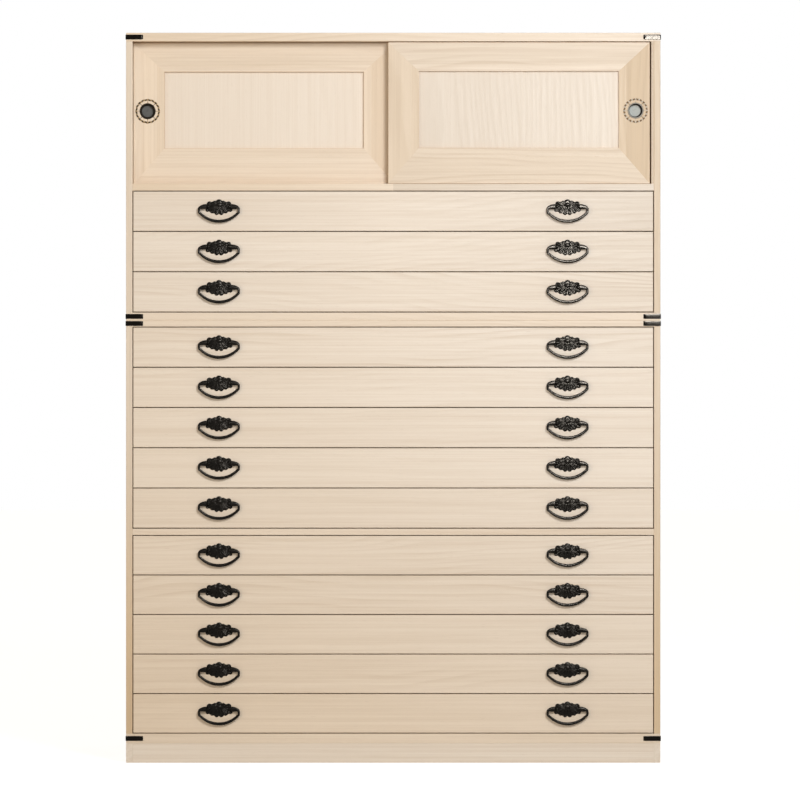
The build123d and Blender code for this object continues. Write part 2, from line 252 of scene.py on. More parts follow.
def paulownia(name, seed, boards):
    """Planed, clear-finished paulownia, on the boards that boards(x, y, z) tells apart.

    Growth rings are shells round a pith line that stands off the board:
    ring = sqrt((across - a)^2 + (depth - b)^2), shifted by slow noise so that they run in long
    streaks and pointed arches. Fine fibres, pores and a slow change of tone lie over them. Every
    layer of noise has so many features a metre along the grain and so many across it.
    """
    look = Look(name)
    made = boards(*look.place())
    along, across, depth, board = made.along, made.across, made.depth, made.number
    slant = (look.chance(board, seed + 2.2) - 0.5) * 0.16
    drift = look.chance(board, seed)
    lean = look.chance(board, seed + 7.3)
    tone = look.chance(board, seed + 3.1)
    shift = drift * 9.0 + board * 3.7
    along = along + shift

    def layer(lengthwise, crosswise, detail, roughness=0.5, shift=shift, apart=0.0, onward=0.0):
        sideways = across * crosswise + shift
        return look.noise(
            along * lengthwise + onward, sideways, depth * crosswise + apart, detail, roughness
        )

    slow = layer(1.6, 7.0, 2.0)
    sway = layer(3.8, 16.0, 2.0, apart=5.0)
    pith_side = across + (drift - 0.5) * 0.11 + (slow - 0.5) * 0.10 + (along - shift) * slant
    pith_deep = depth + 0.012 + lean * 0.05
    distance = (pith_side * pith_side + pith_deep * pith_deep) ** 0.5
    rings_a_metre = 78.0 + lean * 50.0
    ring = distance * rings_a_metre + (sway - 0.5) * 1.1 + along * 0.35
    share = ring.maths("FRACT")
    late = share.ramp(0.35, 0.93) * (1.0 - share.ramp(0.93, 1.0))
    clear = layer(2.2, 28.0, 1.0, shift=0.0, apart=9.0).ramp(0.30, 0.72)

    figure = look.chance(board, seed + 5.9).ramp(0.45, 0.95)
    streak = layer(2.2, 130.0, 3.0, 0.6)
    line = layer(1.3, 380.0, 2.0, 0.6)
    fibre = layer(14.0, 1100.0, 2.0, 0.7, shift=0.0)
    pore = layer(75.0, 1500.0, 1.0, shift=0.0, apart=3.0).ramp(0.66, 0.78)
    cloud = layer(1.1, 4.5, 1.0, onward=4.0)

    # How much each layer darkens the wood. A quiet board keeps part of its streaks and lines.
    loud = 1.0 - made.quiet
    dark = (
        late * clear * (0.06 + figure * 0.17) * loud
        + (streak - 0.5) * 0.60 * (loud * 0.7 + 0.3)
        + (line - 0.5) * (loud * 0.24 + 0.18)
        + (fibre - 0.5) * 0.20
        + (cloud - 0.5) * (loud * 0.18 + 0.10)
        + (tone - 0.5) * 0.09
        + 0.10
    ).held()
    # Warmth, then amber painted shade in recesses and gaps, grain, and painted shade toward black.
    colour = look.mixed(PALE_WOOD, HONEY_WOOD, made.warm.held())
    colour = look.mixed(colour, BROWN_WOOD, (made.warm - 1.0).held())
    colour = look.mixed(colour, AMBER_SHADE_WOOD, made.inner)
    colour = look.mixed(colour, DEEP_WOOD, dark)
    colour = look.mixed(colour, BLACK, made.shade)
    colour = look.mixed(colour, PORE_WOOD, pore * 0.16)
    height = fibre * 0.5 + streak * 0.5 - pore * 0.8 + late * 0.25
    look.set(
        Base_Color=colour,
        Roughness=0.47 + (fibre - 0.5) * 0.16 + late * 0.05,
        Normal=look.bump(height, 0.16, 0.3 * MM),
        Specular_IOR_Level=0.18,
        IOR=1.45,
    )
    return look.material


def case_boards(x, y, z):
    """Sides and backs stand, shelves lie along the width, and base sides run front to back."""
    at_side = x.size() > INNER_X - 0.5 * MM
    full = [(TOP_LOW, TOP_HIGH), (MIDDLE_LOW, MIDDLE_HIGH), (BASE_TOP, BOTTOM_TOP)]
    in_full = sum((z > low - HAIR) * (z < high + HAIR) for low, high in full)
    base = z < BASE_TOP - HAIR
    standing = (at_side * (1.0 - in_full) + (y > BACK_PANEL_Y - HAIR)).held() * (1.0 - base)
    running = at_side * base
    lying = (1.0 - standing) * (1.0 - running)
    along = x * lying + z * standing + y * running
    across = z * lying + x * standing * (y > BACK_PANEL_Y) + y * standing * at_side + z * running
    depth = y * lying * (1.0 - in_full) + y * in_full + x * standing * at_side + x * running

    # The numbers only have to differ from board to board.
    right = x > 0
    storey = (z * STOREYS_A_METRE).maths("FLOOR")
    upper = z > UNIT_SEAM - HAIR
    lying_number = storey + right * 3.0 * running + upper * 5.0 + (z > 1.08) * 7.0
    standing_number = right * 3.0 + (z > UNIT_SEAM - 8.0 * MM) * 5.0 + 17.0
    number = lying_number.toward(standing_number, standing)

    # Where the tone changes: the top board, the sill, the front edges, the inner face of the left
    # side, the jamb strip beside the right door and the inside of the case. Most of these changes
    # are painted light and shade, and they stay in the wood under any lamp.
    at_top = z > TOP_LOW - HAIR
    at_sill = (z > SILL_LOW - HAIR) * (z < SILL_HIGH + HAIR)
    at_face = y < FRONT_Y + 1.2 * MM
    # Painted shade: the front edge at the right side above the unit seam is warmer and darker.
    upper_right_shade = at_side * at_face * right * (z > UNIT_SEAM + 2.0 * MM)
    # Painted light: the inner face of the left side is made paler.
    lit_left_face = at_side * (x < 0) * (x > 0.5 * MM - CASE_HIGH.x) * (y > FRONT_Y + 1.0 * MM)
    # Painted shade: the jamb strip beside the right door is warmer and darker, most towards the
    # door.
    in_strip = (x > INNER_X - JAMB_STRIP) * (x < INNER_X)
    jamb_shade = in_strip * (y < FRONT_Y + 25.0 * MM) * standing
    jamb_shade = jamb_shade.maths("MAXIMUM", in_strip * at_face)
    jamb_shade = jamb_shade * (z > SILL_HIGH + 0.5 * MM) * (z < TOP_LOW - HAIR)
    # The inside of the case, which gets amber painted shade.
    inside = (x > 0.2 * MM - INNER_X) * (x < INNER_X + 0.05 * MM) * (y > FRONT_Y + 1.0 * MM)
    inside = inside * (y < BACK_PANEL_Y + HAIR) * (z > BOTTOM_TOP + HAIR) * (z < TOP_LOW + HAIR)

    # Painted shade: the top board and the sill are warmer to the left and paler to the right, and
    # the sides are warmer down to the foot, most of all at the left.
    shelf = 0.34 - base * 0.34 + at_top * (0.04 - x * 0.3) + at_sill * (0.02 - x * 0.55)
    foot_shade = (1.0 - z.ramp(0.05, 0.68)) * (0.69 - x * 0.46) * (at_face * 0.7 + 0.3)
    warm = shelf.toward(0.42 + foot_shade + x * at_face * 0.3 + upper_right_shade * 0.15, standing)
    warm = warm + jamb_shade * 0.4 - lit_left_face * 0.4
    # Amber painted shade inside the case, strongest near the front.
    inner = inside * (AMBER_SHADE - (y - FRONT_Y).ramp(0.01, 0.09) * 0.34)
    # Painted shade darkens the standing boards, the base, the right part of the sill's front, the
    # upper right front edge and the jamb strip.
    shade = standing * 0.05 + base * 0.03 + at_sill * at_face * (1.0 - at_side) * right * 0.14
    shade = shade + upper_right_shade * 0.08
    shade = shade + jamb_shade * 0.28 * (1.0 - x.ramp(INNER_X - 2.8 * MM, INNER_X + 0.3 * MM))
    return Board(along, across, depth, number, warm, inner, shade)


def drawer_boards(number):
    """The front and back run along the width and the sides run front to back.

    Drawers are counted from 0 at the top. Lower ones are warmer. The first three are a little
    warmer to the right, where the others are paler, and the first five get a painted shade that
    darkens them to the right. Amber painted shade lies on the front's edges, in the gaps.
    """
    base_warmth = 0.03 + 0.0022 * number**2
    warmer_right = 0.08 if number < 3 else -0.20
    # Painted shade: the first five drawers darken to the right, and the top four a little overall.
    shade_to_right = max(0.0, 0.26 - 0.06 * number)
    base_shade = max(0.0, 0.02 - 0.005 * number)

    def boards(x, y, z):
        at_front = y < FRONT_Y + DRAWER_FRONT + 0.05 * MM
        at_side = (x.size() > 476.5 * MM) * (1.0 - at_front)
        board = at_side * (2.0 + (x > 0)) + at_front * 5.0
        warm = base_warmth + x * warmer_right
        # Amber painted shade on the front's edges behind its face, seen in the gaps between
        # drawers.
        inner = (y > FRONT_Y + 1.1 * MM) * (y < FRONT_Y + DRAWER_FRONT - HAIR) * AMBER_SHADE
        along = x.toward(y, at_side)
        depth = y.toward(x, at_side)
        shade = x.held() * shade_to_right + base_shade
        return Board(along, z, depth, board, warm, inner, shade)

    return boards


# A door's frame, the planks of its panel, and the tongues that run in the grooves.
STILE_MM = 58.0
BOTTOM_RAIL_MM = 67.4
TOP_RAIL_MM = 53.7
PLANK = 124.0 * MM
TONGUE_MM = 1.3
TOP_TONGUE_MM = 5.5


def door_boards(name, tones, shades):
    """Stiles and panel planks stand and rails lie, parted by the mitres at the corners.

    tones and shades are those of the left and right stile and of the top and bottom rail, and the
    last shade is the panel's. The tones are partly the wood's own and partly painted shade, and the
    shades are painted shade.
    """
    low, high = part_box(name)
    middle_x = (low.x + high.x) / 2
    half_width = (high.x - low.x) / 2
    bottom = low.z + TONGUE_MM * MM
    top = high.z - TOP_TONGUE_MM * MM

    def boards(x, y, z):
        from_side = half_width - (x - middle_x).size()
        from_bottom = z - bottom
        from_top = top - z
        past_stile = from_side > (STILE_MM - 0.5) * MM
        past_bottom = from_bottom > (BOTTOM_RAIL_MM - 0.5) * MM
        past_top = from_top > (TOP_RAIL_MM - 0.5) * MM
        in_panel = past_stile * past_bottom * past_top
        at_bottom = from_side * (BOTTOM_RAIL_MM / STILE_MM) > from_bottom
        at_top = (from_side * (TOP_RAIL_MM / STILE_MM) > from_top) * (from_top < from_bottom)
        rail = (at_bottom + at_top).held() * (1.0 - in_panel)
        right = x > middle_x
        plank_number = ((x - low.x) / PLANK).maths("FLOOR")
        frame_number = right.toward(9.0 + at_top * 2.0, rail)

        def parted(left_value, right_value, top_value, bottom_value):
            stile = left_value + right * (right_value - left_value)
            return stile.toward(bottom_value + at_top * (top_value - bottom_value), rail)

        # Amber painted shade on the door's outer edges and along the panel where it meets the
        # frame.
        outer = (from_side < 0.4 * MM) + (from_bottom < 0.4 * MM) + (from_top < 0.4 * MM)
        lip_side = from_side < (STILE_MM + 0.2) * MM
        lip_bottom = from_bottom < (BOTTOM_RAIL_MM + 0.2) * MM
        lip_top = from_top < (TOP_RAIL_MM + 0.2) * MM
        lip_shade = (lip_side + lip_bottom + lip_top).held() * in_panel
        return Board(
            along=z.toward(x, rail),
            across=x.toward(z, rail),
            depth=y,
            number=frame_number.toward(20.0 + plank_number, in_panel),
            # Warmth of the frame, partly its own tone and partly painted shade, and painted shade
            # on frame and panel.
            warm=parted(*tones) * (1.0 - in_panel) + 0.02,
            inner=(outer + lip_shade).held() * AMBER_SHADE,
            shade=parted(*shades[:4]).toward(shades[4], in_panel),
            quiet=in_panel * 1.4 - 0.5,
        )

    return boards


def runner_boards(x, y, z):
    """Runners are straight-grained strips that run front to back, evenly tinted with amber painted
    shade.
    """
    number = (z * STOREYS_A_METRE).maths("FLOOR") + (x > 0)
    even_warmth = number * 0.0 + 0.4
    return Board(y, z, x, number, even_warmth, inner=0.3)


def dress(node, material):
    """Gives a carried-over wooden node its finish."""
    NODES[node].data.materials.clear()
    NODES[node].data.materials.append(material)


dress("upper_case", paulownia("paulownia_upper_case", 1.7, case_boards))
dress("lower_case", paulownia("paulownia_lower_case", 4.1, case_boards))
dress("drawer_runners", paulownia("paulownia_runners", 6.6, runner_boards))
# Each door's seed, then the tones and the painted shades that door_boards asks for. The tones
# are partly the wood's own and partly painted shade.
DOOR_LOOKS = {
    "left_door": (8.2, (0.48, 0.50, 0.34, 0.32), (0.0, 0.0, 0.0, 0.0, 0.02)),
    "right_door": (9.4, (0.66, 0.92, 0.28, 0.46), (0.10, 0.12, 0.03, 0.09, 0.10)),
}
for door, (seed, tones, shades) in DOOR_LOOKS.items():
    dress(door, paulownia(f"paulownia_{door}", seed, door_boards(door, tones, shades)))
for number, drawer in enumerate(DRAWERS):
    seed = 12.3 + 5.17 * number
    dress(f"{drawer}_box", paulownia(f"paulownia_{drawer}", seed, drawer_boards(number)))


# ---------------------------------------------------------------- ironwork finishes
WARM_SHEEN = (1.0, 0.93, 0.84, 1.0)


def ironwork(name, base, roughness, grain, pitting, shine):
    """Dark metal: an uneven sheen from slow noise, and a fine hammered or cast skin from a bump."""
    look = Look(name)
    x, y, z = look.place()
    skin = look.noise(x * grain, y * grain, z * grain, 3.0, 0.6)
    worn = look.noise(x * 90.0, y * 90.0, z * 90.0 + 4.0, 2.0)
    rubbed = tuple(2.1 * part for part in base[:3]) + (1.0,)
    look.set(
        Base_Color=look.mixed(base, rubbed, worn.ramp(0.45, 0.8)),
        Roughness=roughness + (worn - 0.5) * 0.16 + (skin - 0.5) * 0.10,
        Normal=look.bump(skin, pitting, 0.2 * MM),
        Specular_IOR_Level=shine,
        Specular_Tint=WARM_SHEEN,
    )
    return look.material


CAST_IRON = ironwork(
    "black_cast_iron",
    (0.0030, 0.0023, 0.0016, 1.0),
    roughness=0.25,
    grain=900.0,
    pitting=0.25,
    shine=0.09,
)
STRAP_STEEL = ironwork(
    "black_strap_steel",
    (0.0050, 0.0042, 0.0034, 1.0),
    roughness=0.13,
    grain=500.0,
    pitting=0.08,
    shine=0.045,
)


def pull_metal_with_painted_light(name, centre_x, centre_z, shift, floor, wall, rim, ring, bead):
    """Worn metal in tones by the distance from the pull's middle: cup floor, wall, rim, and the
    ring with its beads, where cos(20 t) is high. The tones carry painted light and shade: the wall
    is painted shade, and the floor's lit disc stands off the middle by a shift, which leaves a
    painted shadow crescent on one side of the wall.
    """
    look = Look(name)
    x, y, z = look.place()
    off_x = x - centre_x
    off_z = z - centre_z
    distance = (off_x * off_x + off_z * off_z) ** 0.5
    worn = look.noise(x * 160.0, y * 160.0, z * 160.0, 3.0)
    lit_floor_distance = ((off_x + shift) * (off_x + shift) + off_z * off_z) ** 0.5
    colour = look.mixed(floor, wall, lit_floor_distance.ramp(10.5 * MM, 11.2 * MM))
    colour = look.mixed(colour, rim, distance.ramp(12.6 * MM, 13.2 * MM))
    beads = (off_z.maths("ARCTAN2", off_x) * 20.0).maths("COSINE").ramp(-0.1, 0.6)
    band = look.mixed(ring, bead, beads)
    colour = look.mixed(colour, band, distance.ramp(15.6 * MM, 16.6 * MM))
    look.set(
        Base_Color=look.mixed(colour, BLACK, worn.ramp(0.5, 0.9) * 0.45),
        Roughness=0.34 + worn * 0.14 + distance.ramp(11.6 * MM, 12.2 * MM) * 0.2,
        Specular_IOR_Level=0.06,
    )
    return look.material


# ---------------------------------------------------------------- numpy surfaces
def link(thing):
    """Puts an object in the scene."""
    bpy.context.scene.collection.objects.link(thing)
    return thing


class Shape:
    """Points and four-cornered faces of one closed surface, or of several put together."""

    def __init__(self, points, faces):
        self.points = points
        self.faces = faces

    @classmethod
    def grid(cls, points):
        """A closed surface from rows of points along u that go round in v.

        The first and last rows are closed with a fan to their middle. The enclosed volume is the
        sum of p0 . (p1 x p2) / 6 over the triangles.
        """
        rows, around, _ = points.shape
        index = np.arange(rows * around).reshape(rows, around)
        step = np.roll(index, -1, axis=1)
        quads = np.stack([index[:-1], step[:-1], step[1:], index[1:]], axis=-1).reshape(-1, 4)
        middles = np.stack([points[0].mean(0), points[-1].mean(0)])
        first = np.full(around, rows * around)
        last = first + 1
        fans = [
            np.stack([first, first, step[0], index[0]], axis=-1),
            np.stack([last, last, index[-1], step[-1]], axis=-1),
        ]
        every = np.concatenate([points.reshape(-1, 3), middles])
        return cls(every, np.concatenate([quads, *fans])).outward()

    @classmethod
    def hoop(cls, points):
        """A closed surface from a grid that goes round both ways, such as a ring."""
        rows, around, _ = points.shape
        index = np.arange(rows * around).reshape(rows, around)
        step = np.roll(index, -1, axis=1)
        ahead = np.roll(index, -1, axis=0)
        corners = [index, step, np.roll(step, -1, axis=0), ahead]
        return cls(points.reshape(-1, 3), np.stack(corners, axis=-1).reshape(-1, 4)).outward()

    def outward(self):
        """The same shape with its faces turned outward, by the sign of the enclosed volume."""
        a, b, c, d = (self.points[self.faces[:, k]] for k in range(4))
        volume = (a * np.cross(b, c)).sum() + (a * np.cross(c, d)).sum()
        if volume < 0:
            self.faces = self.faces[:, ::-1]
        return self

    def __add__(self, other):
        faces = np.concatenate([self.faces, other.faces + len(self.points)])
        return Shape(np.concatenate([self.points, other.points]), faces)

    def moved(self, x, y, z):
        return Shape(self.points + np.array([x, y, z]), self.faces)

    def seen_from(self, origin, x_way, y_way, z_way):
        """The shape with its own axes laid along three directions from an origin."""
        turned = self.points @ np.array([x_way, y_way, z_way])
        return Shape(turned + np.array(origin), self.faces)

    def mirrored(self):
        return Shape(self.points * np.array([-1.0, 1.0, 1.0]), self.faces[:, ::-1])

    def piece(self, name, body, material, slot, *nodes):
        """Makes the mesh in metres, with smooth faces, riding on a body for its CAD nodes."""
        corners = [list(dict.fromkeys(face)) for face in self.faces.tolist()]
        mesh = bpy.data.meshes.new(name)
        mesh.from_pydata((self.points * MM).tolist(), [], corners)
        mesh.polygons.foreach_set("use_smooth", np.ones(len(corners), bool))
        mesh.materials.append(material)
        mesh.update()
        thing = link(bpy.data.objects.new(name, mesh))
        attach(thing, body)
        if nodes:
            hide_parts(*nodes)
        return thing


def joined(shapes):
    """Several shapes as one."""
    whole = shapes[0]
    for shape in shapes[1:]:
        whole = whole + shape
    return whole


def full_turn(count):
    return np.linspace(0, 2 * np.pi, count, endpoint=False)


def rounded_box_curve(angle, half_a, half_b, power):
    """Superellipse: a = A sign(cos t)|cos t|^(2/n), b = B sign(sin t)|sin t|^(2/n)."""
    cos, sin = np.cos(angle), np.sin(angle)
    a = half_a * np.sign(cos) * np.abs(cos) ** (2 / power)
    b = half_b * np.sign(sin) * np.abs(sin) ** (2 / power)
    return a, b


def turned(profile, count):
    """A profile of (radius, height) carried round the height axis: (r cos t, r sin t, h)."""
    profile = np.asarray(profile, float)
    angle = full_turn(count)
    radius = profile[:, :1]
    height = np.repeat(profile[:, 1:], count, axis=1)
    points = np.stack([radius * np.cos(angle), radius * np.sin(angle), height], axis=-1)
    return Shape.grid(points)


def eased(points, window):
    """A path with its corners softened: the running mean of each point's neighbours."""
    weights = np.hanning(window + 2)[1:-1]
    weights = weights / weights.sum()
    reach = window // 2
    padded = np.pad(points, ((reach, reach), (0, 0)), mode="edge")
    columns = [np.convolve(padded[:, k], weights, mode="valid") for k in range(points.shape[1])]
    smooth = np.stack(columns, axis=-1)[: len(points)]
    smooth[0], smooth[-1] = points[0], points[-1]
    return smooth


def evenly(points, count):
    """A path walked at even steps of its own length."""
    steps = np.linalg.norm(np.diff(points[:, :2], axis=0), axis=1)
    length = np.concatenate([[0], np.cumsum(steps)])
    places = np.linspace(0, length[-1], count)
    columns = [np.interp(places, length, points[:, k]) for k in range(points.shape[1])]
    return np.stack(columns, axis=-1)


# ---------------------------------------------------------------- drawer handles
PIVOT_RISE_MM = 1.2
PIVOT_STANDOFF_MM = 6.5
PIVOT_OVER_GRIP_MM = 30.0
EYE_X_MM = 19.5
EYE_MID_RADIUS_MM = 2.33
STEM_RADIUS_MM = 1.6
PIN_RADIUS_MM = 1.5
BAIL_SIDE_MM = 37.15
GRIP_RADIUS_MM = 48.5
GRIP_CENTRE_MM = 20.9
BOSS_Z_MM = 4.6
BOSS_HALF_MM = (6.4, 4.0)
BOSS_HEIGHT_MM = 1.9
LEAF_HEIGHT_MM = 0.85
VEIN_DEPTH_MM = 0.35
ROSETTE_MM = (17.8, 5.8)
ROSETTE_RADIUS_MM = 3.9
ROSETTE_PETALS = 8
SEED_RADIUS_MM = 1.25
SEED_HEIGHT_MM = 1.1
PLATE_OVAL_MM = (24.0, 12.3)
PLATE_EDGE_MM = 0.9
PLATE_RAYS = 300
PLATE_RINGS = 44

# Lobes of the plate as (x, z, radius): the lower and upper ones of one half, and the top one.
LOW_LOBES = [(4.3, -10.6, 3.9), (12.8, -7.5, 3.9), (21.3, -4.9, 3.7)]
HIGH_LOBES = [(17.8, 5.9, 5.2), (8.0, 8.9, 3.5)]
TOP_LOBE = (0.0, 8.7, 6.3)
ONE_SIDE = LOW_LOBES + HIGH_LOBES
LOBES = np.array([*ONE_SIDE, *((-x, z, radius) for x, z, radius in ONE_SIDE), TOP_LOBE])


def plate_reach(angle):
    """How far the lobed outline reaches along each ray from the middle.

    A ray u meets the disc at c with radius r at t = c.u + sqrt((c.u)^2 - |c|^2 + r^2), and the
    farthest of these, or a small oval where no disc is met, is the outline.
    """
    ray = np.stack([np.cos(angle), np.sin(angle)])
    centre = LOBES[:, :2]
    radius = LOBES[:, 2]
    onward = centre @ ray
    inside = onward**2 - (centre**2).sum(1)[:, None] + (radius**2)[:, None]
    reach = np.where(inside > 0, onward + np.sqrt(np.maximum(inside, 0)), 0)
    oval = 1 / np.sqrt((ray[0] / PLATE_OVAL_MM[0]) ** 2 + (ray[1] / PLATE_OVAL_MM[1]) ** 2)
    return np.maximum(reach.max(0), oval)


def petal_height(x, z):
    """Relief of the plate: a rounded leaf along the line from the boss to each lobe, the side
    rosettes with a ring of small petals, and the oval boss, the highest of them at each place.
    The plate stays low under the arms of the bail.
    """
    height = np.zeros_like(x)
    for lobe_x, lobe_z, radius in LOBES:
        start = np.array([0.35 * lobe_x, BOSS_Z_MM + 0.25 * (lobe_z - BOSS_Z_MM)])
        line = np.array([lobe_x, lobe_z]) - start
        share = ((x - start[0]) * line[0] + (z - start[1]) * line[1]) / (line @ line)
        share = np.clip(share, 0, 1)
        off = np.hypot(x - start[0] - share * line[0], z - start[1] - share * line[1])
        width = radius * (0.45 + 0.42 * share)
        leaf = LEAF_HEIGHT_MM * np.clip(1 - (off / width) ** 4, 0, 1)
        vein = VEIN_DEPTH_MM * np.exp(-((off / 0.45) ** 2))
        height = np.maximum(height, np.clip(leaf - vein, 0, None))
    for side in (-1, 1):
        off_x = x - side * ROSETTE_MM[0]
        off_z = z - ROSETTE_MM[1]
        off = np.hypot(off_x, off_z)
        turn = np.arctan2(off_z, off_x)
        petals = 0.72 + 0.28 * np.cos(ROSETTE_PETALS * turn)
        flower = petals * np.clip(1 - ((off - 2.3) / 1.5) ** 2, 0, 1)
        seed = SEED_HEIGHT_MM * np.sqrt(np.clip(1 - (off / SEED_RADIUS_MM) ** 2, 0, 1))
        height = np.where(off < ROSETTE_RADIUS_MM, np.maximum(flower, seed), height)
    boss = 1 - (x / BOSS_HALF_MM[0]) ** 2 - ((z - BOSS_Z_MM) / BOSS_HALF_MM[1]) ** 2
    dome = BOSS_HEIGHT_MM * np.sqrt(np.clip(boss, 0, 1))
    rim = 0.9 * np.exp(-((boss + 0.16) ** 2) / 0.02)
    height = np.maximum(height, np.maximum(dome, rim))
    under_arm = np.clip((np.abs(x) - 20.9) / 0.7, 0, 1) * np.clip((z + 3.6) / 0.8, 0, 1)
    return height * (1 - under_arm)


def plate():
    """Cast plate: a polar grid over its outline, with the relief on its face.

    p(s, t) = (R(t) q(s) cos t, -h, R(t) q(s) sin t), where q runs out to 1 over the face, stays
    there down the edge and comes back over the flat rear.
    """
    angle = full_turn(PLATE_RAYS)
    reach = plate_reach(angle)
    out = np.sin(np.linspace(0.02, 1, PLATE_RINGS) * np.pi / 2)
    share = np.concatenate([out, [1.0, 1.0], [0.97, 0.4, 0.02]])[:, None]
    x = share * reach * np.cos(angle)
    z = share * reach * np.sin(angle)
    edge = np.clip((1 - share) * reach / PLATE_EDGE_MM, 0, 1)
    body = 0.75 + 0.65 * np.sqrt(1 - (1 - edge) ** 2)
    height = body + petal_height(x, z) * edge**0.6
    height[PLATE_RINGS] = 0.35
    height[PLATE_RINGS + 1 :] = 0.0
    return Shape.grid(np.stack([x, -height, z], axis=-1))


def eye_bolt():
    """Eye round the bail's pin, and the stem that holds it.

    The eye is a ring about X: its section is a superellipse between the hole and the outside. The
    stem is a round bar that widens into the plate, r(h) carried round Y.
    """
    angle, around = np.meshgrid(full_turn(36), full_turn(14), indexing="ij")
    thick, wide = rounded_box_curve(around, 0.75, 2.0, 3.0)
    radius = EYE_MID_RADIUS_MM + thick
    ring = np.stack([wide, radius * np.cos(angle), radius * np.sin(angle)], axis=-1)
    eye = Shape.hoop(ring).moved(0, -PIVOT_STANDOFF_MM, PIVOT_RISE_MM)
    shank = [(0.02, -2.0), (STEM_RADIUS_MM, -2.0), (STEM_RADIUS_MM, 0.4)]
    profile = [*shank, (2.5, 1.2), (2.3, 1.8), (1.65, 2.4), (1.5, 3.9), (0.02, 4.1)]
    stem = turned(profile, 20).seen_from((0, 0, PIVOT_RISE_MM), (1, 0, 0), (0, 0, 1), (0, -1, 0))
    return eye + stem.outward()


def bail_path():
    """Half of the bail's centreline with its half-width: (x, z, w) from the grip's middle.

    The grip is an arc that rises to the upright side. The side turns in to the leaf-shaped arm,
    which runs to the eye. A running mean rounds the two turns.
    """
    sweep = np.linspace(0, 0.80, 90)
    arc_z = GRIP_CENTRE_MM - GRIP_RADIUS_MM * np.cos(sweep)
    arc = np.stack([GRIP_RADIUS_MM * np.sin(sweep), arc_z], axis=-1)
    arc = arc[arc[:, 0] < BAIL_SIDE_MM - 0.2]
    grip_width = 2.3 + 0.55 * np.cos(np.pi / 2 * arc[:, 0] / BAIL_SIDE_MM) ** 1.5
    low = np.column_stack([arc, grip_width])
    upright = [
        (BAIL_SIDE_MM, arc[-1, 1] + 1.0, 2.2),
        (BAIL_SIDE_MM, -5.6, 2.2),
        (BAIL_SIDE_MM - 0.1, -3.3, 2.3),
    ]
    arm = [(35.8, -2.2, 2.6), (33.3, -1.3, 3.5), (29.5, -0.55, 4.3), (25.5, -0.15, 4.75)]
    root = [(22.6, -0.05, 4.65), (21.95, 0.0, 4.5)]
    line = evenly(np.array([*low.tolist(), *upright, *arm, *root]), 700)
    return eased(line, 61)


def bail():
    """Drop bail: a rounded section of changing width carried along its centreline.

    p(s, t) = c(s) + n(s) w(s) a(t) + Y d(s) b(t), with (a, b) a superellipse. Both ends step down
    to the pins.
    """
    half = evenly(bail_path(), 84)
    shoulder = [(21.85, 0.0, 2.6), (21.8, 0.0, PIN_RADIUS_MM)]
    pin = np.array([*shoulder, (18.3, 0.0, PIN_RADIUS_MM), (18.05, 0.0, 1.1)])
    half = np.concatenate([half, pin])
    whole = np.concatenate([(half * (-1, 1, 1))[:0:-1], half])
    ahead = np.gradient(whole[:, :2], axis=0)
    ahead /= np.linalg.norm(ahead, axis=1)[:, None]
    for place in (slice(0, 5), slice(len(whole) - 5, None)):
        ahead[place] = (1, 0) if place.start == 0 else (-1, 0)
    across = np.stack([-ahead[:, 1], ahead[:, 0]], axis=-1)
    width = whole[:, 2:]
    depth = np.clip(width * 1.45, 1.1, 2.0)
    depth[:4] = width[:4]
    depth[-4:] = width[-4:]
    a, b = rounded_box_curve(full_turn(20), 1.0, 1.0, 2.5)
    x = whole[:, :1] + across[:, :1] * width * a
    z = whole[:, 1:2] + across[:, 1:] * width * a
    y = depth * b
    return Shape.grid(np.stack([x, y, z], axis=-1)).moved(0, -PIVOT_STANDOFF_MM, PIVOT_RISE_MM)


eye_shape = eye_bolt()
bail_shape = bail()
handle_shape = joined([plate(), eye_shape.moved(EYE_X_MM, 0, 0), eye_shape.moved(-EYE_X_MM, 0, 0)])

for drawer in DRAWERS:
    pairs = []
    for side in SIDES:
        name = f"{drawer}_{side}_bail"
        low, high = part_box(name)
        middle = (low.x + high.x) / (2 * MM)
        pivot = low.z / MM + PIVOT_OVER_GRIP_MM
        place = (middle, FRONT_Y / MM, pivot - PIVOT_RISE_MM)
        pairs.append(handle_shape.moved(*place))
        bail_shape.moved(*place).piece(name + "_iron", name, CAST_IRON, "black_iron", name)
    node = f"{drawer}_plates"
    joined(pairs).piece(node + "_iron", drawer, CAST_IRON, "black_iron", node)


# ---------------------------------------------------------------- finger pulls
CUP_RADIUS_MM = 12.4
CUP_DEPTH_MM = 7.5
CUP_CORNER_MM = 2.5
CUP_OUTER_MM = 13.4
SCALLOPS = 8


def pull_cup():
    """Turned cup: a profile from the floor up the wall, over the rolled rim and down outside."""
    roll = np.linspace(0, np.pi, 11)
    rim = np.column_stack([13.7 - 1.3 * np.cos(roll), 0.6 + 1.0 * np.sin(roll)])
    corner = np.linspace(0, np.pi / 2, 7)
    corner_x = CUP_RADIUS_MM - CUP_CORNER_MM + CUP_CORNER_MM * np.sin(corner)
    corner_z = CUP_CORNER_MM - CUP_DEPTH_MM - CUP_CORNER_MM * np.cos(corner)
    floor = [(0.02, -CUP_DEPTH_MM), (5.0, -CUP_DEPTH_MM), (9.0, -CUP_DEPTH_MM)]
    inside = [*floor, *np.column_stack([corner_x, corner_z]).tolist(), (CUP_RADIUS_MM, 0.2)]
    flange = [(15.0, 0.2), (14.8, 0.0), (CUP_OUTER_MM, 0.0)]
    outside = [*flange, (CUP_OUTER_MM, -8.2), (13.0, -8.5), (0.02, -8.5)]
    return turned([*inside, *rim.tolist(), *outside], 64)


